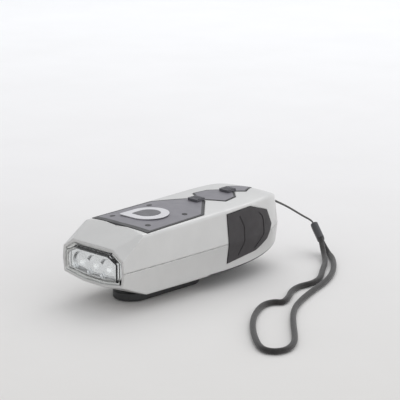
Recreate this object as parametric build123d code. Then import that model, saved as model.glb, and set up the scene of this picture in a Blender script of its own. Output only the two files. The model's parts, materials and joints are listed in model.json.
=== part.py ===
from build123d import *
import math
import os

os.makedirs("parts", exist_ok=True)

# Hand crank flashlight, millimetres. The lens looks along -Y, the lanyard is at +Y,
# the crank lies under the body and the floor it rests on is z = 0.

# Body
FRONT_Y = -77.0
PANEL_Y = -56.0
TAIL_START_Y = 30.0
TAIL_END_Y = 77.0
HALF_WIDTH = 29.3
NOSE_TAPER = 1.0
SIDE_DRAFT = 2.3
DRAFT_HEIGHT = 19.0
LOFT_UP = 32.0
LOFT_DOWN = 30.0
FLANK_Y = 5.0
BELLY_Z = 7.6
BELLY_HALF = 14.5
TAIL_LIFT = 11.6
LIFT_Y = 8.0
TOP_Z = 51.2
TOP_FALL = 3.0
ABOVE = TOP_Z + 8.8
TRIM_BELOW = TOP_Z - 16.2
TAIL_DROP_Y = 46.0
TAIL_DROP = 10.4
RIDGE_RISE = math.atan(TOP_FALL / (TAIL_DROP_Y - PANEL_Y))
CROWN_DROP = 1.3
CROWN_HALF = 23.4
CROWN_REACH = 45.0
CREASE_R = 2.2
BELLY_R = 1.5
BELLY_TILT = 10.0
HOOD_HALF = 25.0
HOOD_Z = 48.6
HOOD_SHOULDER_Z = 45.9
CHIN_BACK_Z = 9.5
WALL = 2.0

# Lens rim, at the front face
RIM_HALF = 27.0
RIM_TOP_HALF = 17.5
RIM_TOP_Z = 39.5
RIM_SHOULDER_Z = 33.0
RIM_CHIN_Z = 18.0
RIM_BOTTOM_HALF = 9.0
RIM_BOTTOM_Z = 15.0

# Line where the two shells meet
PART_Z = 27.4
PART_RISE = 1.05
PART_PLANE = Plane((0, 0, PART_Z), x_dir=(1, 0, 0), z_dir=(0, -PART_RISE / TAIL_END_Y, 1))
LIP_HEIGHT = 1.5
LIP_GAP = 0.1
SEAM = 0.35

# Trim let into the top
POCKET = 1.2
PROUD = 0.25
TRIM_GAP = 0.35
PANEL_FRONT_Y = -57.0
PANEL_HALF = 24.4
PANEL_REAR_HALF = 23.4
PANEL_WAIST_Y = -7.0
NECK_HALF = 4.4
NECK_1_Y = 13.5
MID_START_Y = 15.5
MID_HALF = 14.5
MID_WIDE_Y = 22.0
MID_REAR_HALF = 12.5
MID_REAR_Y = 33.0
NECK_2_Y = 40.0
TAIL_TRIM_Y = 42.0
TAIL_TRIM_HALF = 9.0
TAIL_TRIM_WIDE_Y = 46.5
TAIL_TRIM_END_Y = 62.0

# Side grips
GRIP_PROUD = 0.5
GRIP_DEPTH = 1.1
GRIP_GAP = 0.3
GROOVE_WIDTH = 1.3
GROOVE_DEPTH = 0.45

# Selector knob
KNOB_Y = -31.0
KNOB_R = 12.5
KNOB_INSERT_R = 6.7
KNOB_HEIGHT = 1.9
KNOB_LIFT = 0.15
KNOB_SHAFT_R = 2.5
RUN_GAP = 0.1
MARK_X = 15.5
MARK_SIZE = 0.9

# Sliding switches
SLIDER_X = 8.4
SLIDER_Y = 7.6
SLIDER_HEIGHT = 1.5
SLIDER_STROKE = 2.4
SLIDER_1_Y = 10.5
SLIDER_2_Y = 39.0
STEM_X = 3.0
STEM_Y = 2.0
RIBS = 4

# Crank
CRANK_Y = -3.0
ARM_HALF = 11.4
ARM_REACH = 43.0
ARM_TOP_Z = 5.1
ARM_EDGE_R = 1.6
POD_Z = 5.6
POD_FRONT_Y = -45.0
POD_REAR_Y = 60.0
POD_TAIL_LIFT = 3.0
CRANK_SHAFT_R = 3.0
HANDLE_HINGE_Y = -39.5
HANDLE_HALF = 5.6
HANDLE_LENGTH = 29.0
HANDLE_THICK = 4.0
HANDLE_KNUCKLE = 2.2
HINGE_R = 0.9
HINGE_Z = 2.0
HINGE_LENGTH = 18.0
CAP_R = 5.0
BUSH_OUT_R = 5.2

# Gears
PRESSURE = 25.0
ADDENDUM = 0.8
DEDENDUM = 1.05
BACKLASH = 0.1
TEETH_DRIVE = 40
MODULE_1 = 1.0
TEETH_PINION_1 = 12
TEETH_WHEEL_1 = 36
MODULE_2 = 0.8
TEETH_PINION_2 = 10
TEETH_WHEEL_2 = 30
MODULE_3 = 0.7
TEETH_PINION_3 = 10
GEAR_Z1 = 12.3
GEAR_H1 = 3.0
GEAR_Z2 = 16.0
GEAR_H2 = 2.2
GEAR_Z3 = 18.8
GEAR_H3 = 1.9
IDLER_2_X = 13.0
PLATE_Z = 21.4
PLATE_H = 1.6
AXLE_R = 1.0
AXLE_GAP = 0.05
MAGNET_R = 7.0
STATOR_R = 12.5
STATOR_IN_R = 7.8
STATOR_H = 8.0
POLES = 6
POST_X = 22.3
POST_FRONT_Y = -18.0
POST_REAR_Y = 21.0
POST_R = 2.3
HUB = (0.0, CRANK_Y)
IDLER_1 = (0.0, CRANK_Y + MODULE_1 * (TEETH_DRIVE + TEETH_PINION_1) / 2)
SPACING_2 = MODULE_2 * (TEETH_WHEEL_1 + TEETH_PINION_2) / 2
SPACING_3 = MODULE_3 * (TEETH_WHEEL_2 + TEETH_PINION_3) / 2
IDLER_2 = (IDLER_2_X, IDLER_1[1] - math.sqrt(SPACING_2 ** 2 - IDLER_2_X ** 2))
ROTOR = (0.0, IDLER_2[1] - math.sqrt(SPACING_3 ** 2 - IDLER_2_X ** 2))

# Lamp
LENS_PROUD = 2.0
LENS_GAP = 0.15
LENS_BACK_Y = FRONT_Y + 1.5
LEDGE_Y = FRONT_Y + 2.1
LEDGE = 1.5
LEDGE_INSET = 5.0
REFLECTOR_BACK_Y = FRONT_Y + 10.2
LED_PITCH = 11.7
LED_Z = 25.6
CUP_R = 5.8
CUP_DEPTH = 8.5
LED_R = 2.5
LED_LENGTH = 8.0

# Cells
CELL_R = 5.2
CELL_LENGTH = 30.0
CELL_PITCH = 10.6
CELL_FRONT_Y = -52.0
CELL_Z = 17.2

# Circuit board
BOARD_Z = 39.6
BOARD_H = 1.6
BOARD_HALF = 17.0
BOARD_FRONT_Y = -50.0
BOARD_REAR_Y = 44.0
BOARD_SCREWS = [(-14.5, -45.0), (14.5, -45.0), (-10.0, 40.5), (10.0, 40.5)]

# Case screws
SCREW_R = 1.2
SCREW_HEAD_R = 2.3
SCREW_HEAD_H = 1.4
SCREW_SINK = 7.0
SCREW_BITE = 6.0
BOSS_R = 3.4
SCREW_SPOTS = [(20.8, -50.0), (-20.8, -50.0), (18.6, 43.0), (-18.6, 43.0)]

# Lanyard
LUG_Z = 39.2
PIN_R = 0.9
CORD_D = 0.9
SLOT_H = 3.2
SLOT_HALF = 4.4
LOOP_Y = 70.2
PIN_Y = LOOP_Y + CORD_D / 2 + PIN_R + 0.05
LUG_OUT_Y = 78.9
STRAP_D = 3.6
FERRULE_TOP = (14.2, 108.3, 17.9)
FERRULE_END = (22.5, 105.7, 9.9)
STACK = (0.676, -0.693, 0.25)
CORD_POINTS = [(7.6, 104.6, 23.3), (3.4, 94.0, 30.9), (0.8, 86.5, 35.2)]
STRAP_POINTS = [
    (37.0, 99.3), (46.0, 90.3), (58.4, 73.0), (69.0, 54.0), (78.0, 34.5), (85.0, 16.0), (94.5, -3.0),
    (108.0, -20.5), (121.5, -35.0), (134.4, -49.5), (129.2, -63.3), (114.2, -65.2), (103.5, -51.0),
    (90.0, -33.0), (80.5, -19.0), (71.5, -6.5), (78.0, 8.0), (67.0, 29.5), (64.0, 46.8), (56.0, 66.5),
    (44.6, 84.1), (37.0, 92.5),
]

nodes = {}


def mirrored(points):
    """A closed outline from its points at x >= 0, listed from the bottom up."""
    return points + [(-x, z) for x, z in reversed(points) if x > 0]


def moved_in(outline, distance):
    """The outline drawn in by the distance at its sides, its top and its bottom."""
    wide = max(x for x, z in outline)
    low = min(z for x, z in outline)
    high = max(z for x, z in outline)
    middle = (low + high) / 2
    across = 1 - distance / wide
    upright = 1 - 2 * distance / (high - low)
    return [(x * across, middle + (z - middle) * upright) for x, z in outline]


def plan_face(level, inset):
    """The body seen from above, at a level over or under the parting plane."""
    draft = SIDE_DRAFT * abs(level) / DRAFT_HEIGHT + inset
    wide = HALF_WIDTH - draft
    front = RIM_HALF - draft
    middle = wide - (wide - front) * 0.25
    half_way = (FRONT_Y + FLANK_Y) / 2
    outline = [
        Line((-front, FRONT_Y), (front, FRONT_Y)),
        ThreePointArc((front, FRONT_Y), (middle, half_way), (wide, FLANK_Y)),
        Line((wide, FLANK_Y), (wide, TAIL_START_Y)),
        EllipticalCenterArc((0, TAIL_START_Y), wide, TAIL_END_Y - TAIL_START_Y - draft, 0, arc_size=180),
        Line((-wide, TAIL_START_Y), (-wide, FLANK_Y)),
        ThreePointArc((-wide, FLANK_Y), (-middle, half_way), (-front, FRONT_Y)),
    ]
    return PART_PLANE.offset(level) * make_face(outline)


def flanks(inset):
    """The drafted sides, above and below the parting plane."""
    upper = loft([plan_face(0, inset), plan_face(LOFT_UP, inset)], ruled=True)
    lower = loft([plan_face(0, inset), plan_face(-LOFT_DOWN, inset)], ruled=True)
    return upper + lower


def tail_arch():
    """Radius of the ridge line where the top falls to the tail."""
    return (TAIL_END_Y - TAIL_DROP_Y) ** 2 / (2 * TAIL_DROP) + TAIL_DROP / 2


def crowns(inset):
    """A crowned top: a straight, slightly rising ridge that bends down to the tail."""
    plane = Plane((0, TAIL_DROP_Y, TOP_Z), x_dir=(1, 0, 0), z_dir=(0, -math.cos(RIDGE_RISE), -math.sin(RIDGE_RISE)))
    edge = -inset - CROWN_DROP * (CROWN_REACH / CROWN_HALF) ** 2
    low = 3.0 - tail_arch()
    sides = Polyline((-CROWN_REACH, edge), (-CROWN_REACH, low), (CROWN_REACH, low), (CROWN_REACH, edge))
    top = ThreePointArc((-CROWN_REACH, edge), (0, -inset), (CROWN_REACH, edge))
    face = plane * make_face(sides.edges() + top.edges())
    forward = extrude(face, 140, dir=plane.z_dir)
    pivot = plane.origin - plane.y_dir * tail_arch()
    back = revolve(face, Axis(pivot, (1, 0, 0)), -88)
    return forward + back


def underside(inset):
    """Everything above the belly, which rises towards the tail."""
    run = TAIL_END_Y + 20 - LIFT_Y
    lift = (TAIL_END_Y - LIFT_Y) ** 2 / (2 * TAIL_LIFT) + TAIL_LIFT / 2
    low = BELLY_Z + inset
    end = math.asin(run / (lift - inset))
    way = CenterArc((LIFT_Y, BELLY_Z + lift), lift - inset, -90, math.degrees(end))
    start = (FRONT_Y - 10, low)
    roof = Polyline(way @ 1, ((way @ 1).X, 80), (start[0], 80), start, (LIFT_Y, low))
    face = Plane((-45, 0, 0), x_dir=(0, 1, 0), z_dir=(1, 0, 0)) * make_face(way.edges() + roof.edges())
    return extrude(face, 90)


def hood(inset):
    """The flat facets that draw the nose in to the eight-sided lens rim."""
    rim = mirrored([
        (RIM_BOTTOM_HALF, RIM_BOTTOM_Z),
        (RIM_HALF + 0.5, RIM_CHIN_Z),
        (RIM_HALF + 0.5, RIM_SHOULDER_Z),
        (RIM_TOP_HALF, RIM_TOP_Z),
    ])
    back = mirrored([
        (BELLY_HALF, BELLY_Z),
        (HALF_WIDTH + 0.5, CHIN_BACK_Z),
        (HALF_WIDTH + 0.5, HOOD_SHOULDER_Z),
        (HOOD_HALF, HOOD_Z),
    ])
    faces = []
    for y, outline in [(FRONT_Y, rim), (PANEL_Y, back)]:
        plane = Plane((0, y, 0), x_dir=(1, 0, 0), z_dir=(0, -1, 0))
        faces.append(plane * make_face(Polyline(*moved_in(outline, inset), close=True)))
    block = Box(100, 150, 100, align=(Align.CENTER, Align.MIN, Align.CENTER))
    return loft(faces, ruled=True) + block.move(Location((0, PANEL_Y, 30)))


def form(inset):
    """The body's form with every face moved inwards by the inset."""
    floor = underside(inset)
    left = floor.rotate(Axis((-BELLY_HALF, 0, BELLY_Z), (0, 1, 0)), BELLY_TILT)
    right = floor.rotate(Axis((BELLY_HALF, 0, BELLY_Z), (0, 1, 0)), -BELLY_TILT)
    return flanks(inset) & crowns(inset) & (floor & left & right) & hood(inset)


def keep(name, solid):
    """Stores one piece under its name."""
    nodes[name] = solid


def half_space(above, offset=0.0):
    """Everything over, or under, the parting plane moved up by the offset."""
    face = PART_PLANE.offset(offset) * Rectangle(200, 300)
    return extrude(face, 100 if above else -100)


def band(low, high):
    """The layer between two heights over the parting plane."""
    return half_space(True, low) & half_space(False, high)


def prism(points, low, high, radius=0.8):
    """An upright prism over a closed outline with rounded corners."""
    face = make_face(FilletPolyline(*points, radius=radius, close=True))
    return extrude(Pos(0, 0, low) * face, high - low)


def across(points, x_low, x_high, radius=0.8):
    """A prism along X over a closed outline in Y and Z."""
    plane = Plane((x_low, 0, 0), x_dir=(0, 1, 0), z_dir=(1, 0, 0))
    return extrude(plane * make_face(FilletPolyline(*points, radius=radius, close=True)), x_high - x_low)


def rod(x, y, low, high, radius):
    return Pos(x, y, (low + high) / 2) * Cylinder(radius, high - low)


def rod_x(y, z, low, high, radius):
    return Pos((low + high) / 2, y, z) * Rot(0, 90, 0) * Cylinder(radius, high - low)


def rod_y(x, z, low, high, radius):
    return Pos(x, (low + high) / 2, z) * Rot(90, 0, 0) * Cylinder(radius, high - low)


def block(x, y, low, size_x, size_y, height):
    return Pos(x, y, low + height / 2) * Box(size_x, size_y, height)


# Outlines of the trim pieces seen from above

def symmetric(points):
    """An outline from its points at x >= 0, from front to back."""
    return points + [(-x, y) for x, y in reversed(points) if x > 0.01]


PANEL = symmetric([
    (0, PANEL_FRONT_Y - 0.9), (PANEL_HALF, PANEL_FRONT_Y + 1.4), (PANEL_REAR_HALF, PANEL_WAIST_Y), (NECK_HALF, NECK_1_Y),
])
MIDDLE = symmetric([
    (NECK_HALF, MID_START_Y), (MID_HALF, MID_WIDE_Y), (MID_REAR_HALF, MID_REAR_Y), (NECK_HALF, NECK_2_Y),
])
TAIL = symmetric([
    (NECK_HALF, TAIL_TRIM_Y), (TAIL_TRIM_HALF, TAIL_TRIM_WIDE_Y), (0, TAIL_TRIM_END_Y),
])


def grown(points, distance):
    """The outline of a pocket that a trim piece drops into, as a face."""
    return offset(make_face(Polyline(*points, close=True)), distance, kind=Kind.INTERSECTION)


# Side grips, outline and grooves in Y and Z

GRIP = [(9.8, 45.9), (31.0, 47.3), (48.2, 41.7), (52.6, 32.1), (46.8, 23.5), (35.3, 18.5), (9.3, 15.0)]
GROOVES = [
    [(20.2, 43.2), (23.6, 36.0), (23.0, 26.0), (18.0, 18.6)],
    [(38.1, 42.3), (42.4, 38.4), (42.2, 28.0), (33.0, 20.3)],
]


def grip_outline(gap):
    face = offset(make_face(Polyline(*GRIP, close=True)), gap, kind=Kind.INTERSECTION)
    return extrude(Plane((6, 0, 0), x_dir=(0, 1, 0), z_dir=(1, 0, 0)) * face, 40)


def groove_tool():
    """The two long grooves of a grip, cut from outside."""
    plane = Plane((6, 0, 0), x_dir=(0, 1, 0), z_dir=(1, 0, 0))
    tools = []
    for points in GROOVES:
        line = FilletPolyline(*points, radius=[5.0, 5.0])
        tools.append(extrude(plane * trace(line, GROOVE_WIDTH), 40))
    return tools[0] + tools[1]


# Body forms

outer = form(0)
pocket_floor = form(POCKET)
inside = form(WALL)
skin = form(-PROUD)
grip_skin = form(-GRIP_PROUD)
grip_floor = form(GRIP_DEPTH)
lip_form = form(WALL / 2 + LIP_GAP)
groove_form = form(WALL / 2)
lip_core = form(WALL + 0.5)


def softened(solid, low, high, radius):
    """The solid with the edges that run along its flanks rounded between two heights."""
    edges = []
    for edge in solid.edges():
        box = edge.bounding_box()
        along = edge.length > 15 and box.size.Y > 10 and box.min.Y > PANEL_Y - 6
        if along and low < edge.center().Z < high:
            edges.append(edge)
    return fillet(edges, radius)


# Shells

def lens_face(inset):
    """The lens outline, drawn in from the rim."""
    rim = mirrored([
        (RIM_BOTTOM_HALF, RIM_BOTTOM_Z),
        (RIM_HALF - 0.9, RIM_CHIN_Z - 0.2),
        (RIM_HALF - 0.9, RIM_SHOULDER_Z + 0.8),
        (RIM_TOP_HALF, RIM_TOP_Z),
    ])
    outline = FilletPolyline(*moved_in(rim, inset), radius=1.2, close=True)
    return Plane((0, 0, 0), x_dir=(1, 0, 0), z_dir=(0, -1, 0)) * make_face(outline)


def lens_slab(inset, front, back):
    return extrude(Pos(0, back, 0) * lens_face(inset), back - front)


def trim_piece(points):
    """A trim plate that follows the crowned top."""
    return (prism(points, TRIM_BELOW, ABOVE) & skin) - pocket_floor


def pocket_tool(points):
    return extrude(Pos(0, 0, TRIM_BELOW) * grown(points, TRIM_GAP), ABOVE - TRIM_BELOW) - pocket_floor


def shell_pair():
    """Upper and lower housing shells with their lip, seam and lens seat."""
    whole = softened(outer, TOP_Z - 11.2, TOP_Z + 0.8, CREASE_R)
    whole = softened(whole, BELLY_Z - 2.6, BELLY_Z + 12.4, BELLY_R) - inside
    seat = lens_slab(WALL - 0.6, LEDGE_Y, LEDGE_Y + LEDGE)
    whole += seat - lens_slab(LEDGE_INSET, LEDGE_Y - 1, LEDGE_Y + LEDGE + 1)
    whole -= lens_slab(WALL - LENS_GAP, FRONT_Y - 3, LEDGE_Y)
    behind_lens = block(0, LEDGE_Y + LEDGE + 100, -50, 200, 200, 200)
    high = whole & half_space(True)
    low = whole & half_space(False)
    low += (lip_form - inside) & band(0, LIP_HEIGHT) & behind_lens
    high -= (groove_form - lip_core) & band(0, LIP_HEIGHT + LIP_GAP) & behind_lens
    high -= (skin - form(SEAM)) & band(0, SEAM)
    return high, low


def floor_z(y):
    """Height of the outer belly on the centre line."""
    if y < LIFT_Y:
        return BELLY_Z
    arch = (TAIL_END_Y - LIFT_Y) ** 2 / (2 * TAIL_LIFT) + TAIL_LIFT / 2
    return BELLY_Z + arch - math.sqrt(arch ** 2 - (y - LIFT_Y) ** 2)


def ridge_z(y):
    """Height of the outer top on the centre line."""
    if y < TAIL_DROP_Y:
        return TOP_Z - (TAIL_DROP_Y - y) * math.tan(RIDGE_RISE)
    arch = tail_arch()
    middle = TAIL_DROP_Y + arch * math.sin(RIDGE_RISE)
    return TOP_Z - arch * math.cos(RIDGE_RISE) + math.sqrt(arch ** 2 - (y - middle) ** 2)


def case_screws(high, low):
    """Bosses and screws that hold the two shells together."""
    screws = []
    for x, y in SCREW_SPOTS:
        post = rod(x, y, 5, ABOVE, BOSS_R) & inside
        low += post & half_space(False)
        high += post & half_space(True)
        neck = floor_z(y) + SCREW_SINK
        top = PART_Z + SCREW_BITE
        low -= rod(x, y, 0, ABOVE, SCREW_R + 0.15) & half_space(False)
        low -= rod(x, y, 0, neck, SCREW_HEAD_R + 0.2)
        high -= rod(x, y, 20, top + 0.5, SCREW_R)
        head = rod(x, y, neck - SCREW_HEAD_H, neck, SCREW_HEAD_R)
        drive = block(x, y, neck - SCREW_HEAD_H - 1, 2.6, 0.6, 1.7) + block(x, y, neck - SCREW_HEAD_H - 1, 0.6, 2.6, 1.7)
        screws.append(head + rod(x, y, neck - 0.5, top, SCREW_R) - drive)
    return high, low, Compound(children=screws)


# Crank and belly

def stadium(half, front, rear, low, height):
    """An upright slot-shaped block along Y."""
    length = rear - front
    face = Pos(0, (front + rear) / 2, low) * Rot(0, 0, 90) * SlotOverall(length, 2 * half)
    return extrude(face, height)


def belly_pod():
    """The black cover under the belly, lifting a little at the tail."""
    body = stadium(BELLY_HALF, POD_FRONT_Y, POD_REAR_Y, POD_Z, 14)
    low = [(POD_FRONT_Y - 5, POD_Z), (LIFT_Y, POD_Z), (POD_REAR_Y + 5, POD_Z + POD_TAIL_LIFT)]
    under = across(low + [(POD_REAR_Y + 5, 40), (POD_FRONT_Y - 5, 40)], -20, 20, radius=1)
    pod = (body & under) - outer
    return pod - rod(0, CRANK_Y, 0, 20, BUSH_OUT_R)


def crank_arm():
    arm = stadium(ARM_HALF, CRANK_Y - ARM_REACH - ARM_HALF, CRANK_Y + ARM_HALF, 0, ARM_TOP_Z)
    arm = fillet(arm.edges().group_by(Axis.Z)[0], ARM_EDGE_R)
    arm = fillet(arm.edges().group_by(Axis.Z)[-1], 0.5)
    front = HANDLE_HINGE_Y - HANDLE_KNUCKLE - 0.3
    rear = HANDLE_HINGE_Y + HANDLE_LENGTH + 0.4
    slot = block(0, (front + rear) / 2, -1, 2 * (HANDLE_HALF + 0.3), rear - front, HANDLE_THICK + 1.3)
    arm -= fillet(slot.edges().filter_by(Axis.Z).group_by(Axis.Y)[-1], HANDLE_HALF - 0.2)
    arm -= rod_x(HANDLE_HINGE_Y, HINGE_Z, -HINGE_LENGTH / 2, HINGE_LENGTH / 2, HINGE_R)
    arm -= rod(0, CRANK_Y, -1, 10, CRANK_SHAFT_R)
    arm -= rod(0, CRANK_Y, -1, 0.6, CAP_R)
    return arm


def crank_handle():
    """Flat handle that folds into the arm."""
    blade = block(0, HANDLE_HINGE_Y + HANDLE_LENGTH / 2 - HANDLE_KNUCKLE / 2, 0, 2 * HANDLE_HALF,
                  HANDLE_LENGTH + HANDLE_KNUCKLE, HANDLE_THICK)
    blade = fillet(blade.edges().filter_by(Axis.Z).group_by(Axis.Y)[-1], HANDLE_HALF - 0.6)
    blade = fillet(blade.edges().group_by(Axis.Y)[0].filter_by(Axis.X), HANDLE_KNUCKLE - 0.3)
    for step in range(4):
        y = HANDLE_HINGE_Y + HANDLE_LENGTH * 0.35 + step * 3.2
        blade -= block(0, y, -0.5, 2 * HANDLE_HALF - 3, 1.2, 1.0)
    return blade - rod_x(HANDLE_HINGE_Y, HINGE_Z, -10, 10, HINGE_R + 0.05)


# Gears

def involute_side(base, radius):
    """Angle the involute has turned through at a radius."""
    a = math.acos(min(1.0, base / radius))
    return math.tan(a) - a


def gear_face(teeth, module, turn):
    """A spur gear outline with a tooth centred at the turn angle, in degrees."""
    pitch = teeth * module / 2
    base = pitch * math.cos(math.radians(PRESSURE))
    tip = pitch + ADDENDUM * module
    root = pitch - DEDENDUM * module
    half = math.pi / (2 * teeth) - BACKLASH / 4 / pitch + involute_side(base, pitch)
    start = max(base, root)
    flank = [start + (tip - start) * share for share in (0.0, 0.3, 0.65, 1.0)]
    points = []
    for tooth in range(teeth):
        centre = math.radians(turn) + 2 * math.pi * tooth / teeth
        lean = half - involute_side(base, start)
        points.append((root, centre - lean))
        points += [(r, centre - half + involute_side(base, r)) for r in flank[start <= root + 1e-9:]]
        points += [(r, centre + half - involute_side(base, r)) for r in reversed(flank[start <= root + 1e-9:])]
        points.append((root, centre + lean))
    outline = [(r * math.cos(a), r * math.sin(a)) for r, a in points]
    return make_face(Polyline(*outline, close=True))


def gear(spot, teeth, module, turn, low, height):
    return extrude(Pos(spot[0], spot[1], low) * gear_face(teeth, module, turn), height)


def meshing_turn(from_spot, to_spot, from_teeth, to_teeth, from_turn):
    """Turn angle that lets one gear mesh with the gear before it."""
    line = math.degrees(math.atan2(to_spot[1] - from_spot[1], to_spot[0] - from_spot[0]))
    ahead = (line - from_turn) % (360 / from_teeth)
    return line + 180 + ahead * from_teeth / to_teeth + 180 / to_teeth


def gear_train():
    """Drive gear, two stepped idlers and the rotor pinion."""
    turn_1 = meshing_turn(HUB, IDLER_1, TEETH_DRIVE, TEETH_PINION_1, 0)
    turn_2 = meshing_turn(IDLER_1, IDLER_2, TEETH_WHEEL_1, TEETH_PINION_2, 0)
    turn_3 = meshing_turn(IDLER_2, ROTOR, TEETH_WHEEL_2, TEETH_PINION_3, 0)
    drive = gear(HUB, TEETH_DRIVE, MODULE_1, 0, GEAR_Z1, GEAR_H1)
    for step in range(6):
        x, y = 12.5 * math.cos(math.radians(60 * step)), 12.5 * math.sin(math.radians(60 * step))
        drive -= rod(HUB[0] + x, HUB[1] + y, 0, 30, 3.4)
    keep("drive_gear", drive - rod(*HUB, 0, 30, CRANK_SHAFT_R))
    first = gear(IDLER_1, TEETH_PINION_1, MODULE_1, turn_1, GEAR_Z1, GEAR_Z2 - GEAR_Z1)
    first += gear(IDLER_1, TEETH_WHEEL_1, MODULE_2, 0, GEAR_Z2, GEAR_H2)
    keep("idler_gear_1", first - rod(*IDLER_1, 0, 40, AXLE_R + AXLE_GAP))
    second = gear(IDLER_2, TEETH_PINION_2, MODULE_2, turn_2, GEAR_Z2, GEAR_Z3 - GEAR_Z2)
    second += gear(IDLER_2, TEETH_WHEEL_2, MODULE_3, 0, GEAR_Z3, GEAR_H3)
    keep("idler_gear_2", second - rod(*IDLER_2, 0, 40, AXLE_R + AXLE_GAP))
    pinion = gear(ROTOR, TEETH_PINION_3, MODULE_3, turn_3, GEAR_Z3, GEAR_H3)
    keep("rotor_pinion", pinion - rod(*ROTOR, 0, 40, AXLE_R))


def generator():
    """Rotor shaft and magnet, stator with its coils, plates that carry them."""
    base = PLATE_Z + PLATE_H
    top = base + STATOR_H
    keep("rotor_shaft", rod(*ROTOR, GEAR_Z3 - 0.6, top + 1.4, AXLE_R))
    keep("rotor_magnet", rod(*ROTOR, base + 0.8, top - 0.8, MAGNET_R) - rod(*ROTOR, 0, ABOVE, AXLE_R))
    ring = rod(*ROTOR, base, top, STATOR_R) - rod(*ROTOR, 0, ABOVE, STATOR_R - 1.6)
    coils = []
    for step in range(POLES):
        angle = 360 / POLES * step + 30
        place = Pos(ROTOR[0], ROTOR[1], 0) * Rot(0, 0, angle)
        tooth = place * block((STATOR_IN_R + STATOR_R - 1) / 2, 0, base + 2.4, STATOR_R - 1 - STATOR_IN_R, 2.2, 3.2)
        ring += tooth
        winding = block((STATOR_IN_R + STATOR_R - 1.6) / 2, 0, base + 1.0, STATOR_R - 2.6 - STATOR_IN_R, 4.4, 6.0)
        coils.append(place * (winding - block(STATOR_R / 2, 0, base + 2.4, STATOR_R, 2.2, 3.2)))
    keep("stator_core", ring - rod(*ROTOR, 0, ABOVE, STATOR_IN_R))
    keep("stator_coils", Compound(children=[coil - rod(*ROTOR, 0, ABOVE, STATOR_IN_R) for coil in coils]))
    cap = rod(*ROTOR, top, top + 1.2, STATOR_R) - rod(*ROTOR, 0, ABOVE, AXLE_R + AXLE_GAP)
    for step in range(3):
        x, y = 7 * math.cos(math.radians(120 * step)), 7 * math.sin(math.radians(120 * step))
        cap -= rod(ROTOR[0] + x, ROTOR[1] + y, 0, ABOVE, 2.0)
    keep("stator_cap", cap)


def gear_plate(low):
    """Plate over the gears on four posts of the lower shell, with its axles and screws."""
    outline = [(-POST_X - 3, POST_FRONT_Y - 3), (POST_X + 3, POST_FRONT_Y - 3), (POST_X + 3, POST_REAR_Y + 3),
               (6, POST_REAR_Y + 3), (5, IDLER_1[1] + 4), (-5, IDLER_1[1] + 4), (-6, POST_REAR_Y + 3),
               (-POST_X - 3, POST_REAR_Y + 3)]
    plate = prism(outline, PLATE_Z, PLATE_Z + PLATE_H, radius=1.5)
    screws = []
    for x in (-POST_X, POST_X):
        for y in (POST_FRONT_Y, POST_REAR_Y):
            low += rod(x, y, 5, PLATE_Z, POST_R) & (inside + rod(x, y, 15, 40, POST_R))
            low -= rod(x, y, PLATE_Z - 6, PLATE_Z + 1, 0.9)
            plate -= rod(x, y, 0, 40, 1.0)
            top = PLATE_Z + PLATE_H
            screws.append(rod(x, y, PLATE_Z - 5.5, top + 0.2, 0.9) + rod(x, y, top, top + 1.2, 1.8)
                          - block(x, y, top + 0.6, 2.4, 0.5, 2))
    keep("plate_screws", Compound(children=screws))
    axle_1 = rod(*IDLER_1, floor_z(IDLER_1[1]) + 0.9, PLATE_Z + PLATE_H, AXLE_R)
    axle_2 = rod(*IDLER_2, GEAR_Z2 - 0.25, PLATE_Z + PLATE_H, AXLE_R)
    low += rod(*IDLER_1, 5, GEAR_Z1 - 0.3, 3.0) & inside
    low -= axle_1
    plate -= rod(*IDLER_1, 0, 40, AXLE_R) + rod(*IDLER_2, 0, 40, AXLE_R) + rod(*ROTOR, 0, 40, AXLE_R + AXLE_GAP)
    keep("gear_plate", plate)
    keep("idler_axles", Compound(children=[axle_1, axle_2]))
    return low


# Lamp

def lamp():
    cover = lens_slab(WALL, FRONT_Y - 0.4, LENS_BACK_Y)
    dome = extrude(Pos(0, FRONT_Y - 0.4, 0) * lens_face(WALL + 1.3), LENS_PROUD - 0.4, taper=25)
    cover += dome
    cover -= lens_slab(WALL + 3.2, FRONT_Y + 0.2, LENS_BACK_Y + 1)
    keep("lens_cover", cover)
    keep("lens_gasket", lens_slab(WALL, LENS_BACK_Y, LEDGE_Y) - lens_slab(LEDGE_INSET, LENS_BACK_Y - 1, LEDGE_Y + 1))
    body = lens_slab(LEDGE_INSET + 0.2, LENS_BACK_Y + 0.2, REFLECTOR_BACK_Y)
    body += lens_slab(WALL + 1.4, LEDGE_Y + LEDGE, LEDGE_Y + LEDGE + 1.2)
    leds = []
    for x in (-LED_PITCH, 0.0, LED_PITCH):
        cup = Plane((x, LENS_BACK_Y + 0.2, LED_Z), x_dir=(1, 0, 0), z_dir=(0, 1, 0))
        mouth = cup * Circle(CUP_R)
        waist = cup.offset(CUP_DEPTH * 0.45) * Circle(CUP_R * 0.84)
        end = cup.offset(CUP_DEPTH) * Circle(LED_R + 0.25)
        body -= loft([mouth, waist], ruled=True) + loft([waist, end], ruled=True)
        body -= rod_y(x, LED_Z, LENS_BACK_Y, REFLECTOR_BACK_Y + 1, LED_R + 0.25)
        bulb = rod_y(x, LED_Z, REFLECTOR_BACK_Y - LED_LENGTH + LED_R, REFLECTOR_BACK_Y, LED_R)
        bulb += Pos(x, REFLECTOR_BACK_Y - LED_LENGTH + LED_R, LED_Z) * Sphere(LED_R)
        leds.append(bulb + rod_y(x, LED_Z, REFLECTOR_BACK_Y - 1.0, REFLECTOR_BACK_Y, LED_R + 0.2))
    keep("reflector", body)
    keep("leds", Compound(children=leds))
    board = block(0, REFLECTOR_BACK_Y + BOARD_H / 2, LED_Z - 7, 3 * LED_PITCH + 8, BOARD_H, 14)
    keep("led_board", board)
    pads = [block(x, REFLECTOR_BACK_Y + BOARD_H + 0.5, LED_Z - 1.5, 4, 1.0, 3) for x in (-LED_PITCH, 0.0, LED_PITCH)]
    keep("led_resistors", Compound(children=pads))


# Electronics

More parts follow.
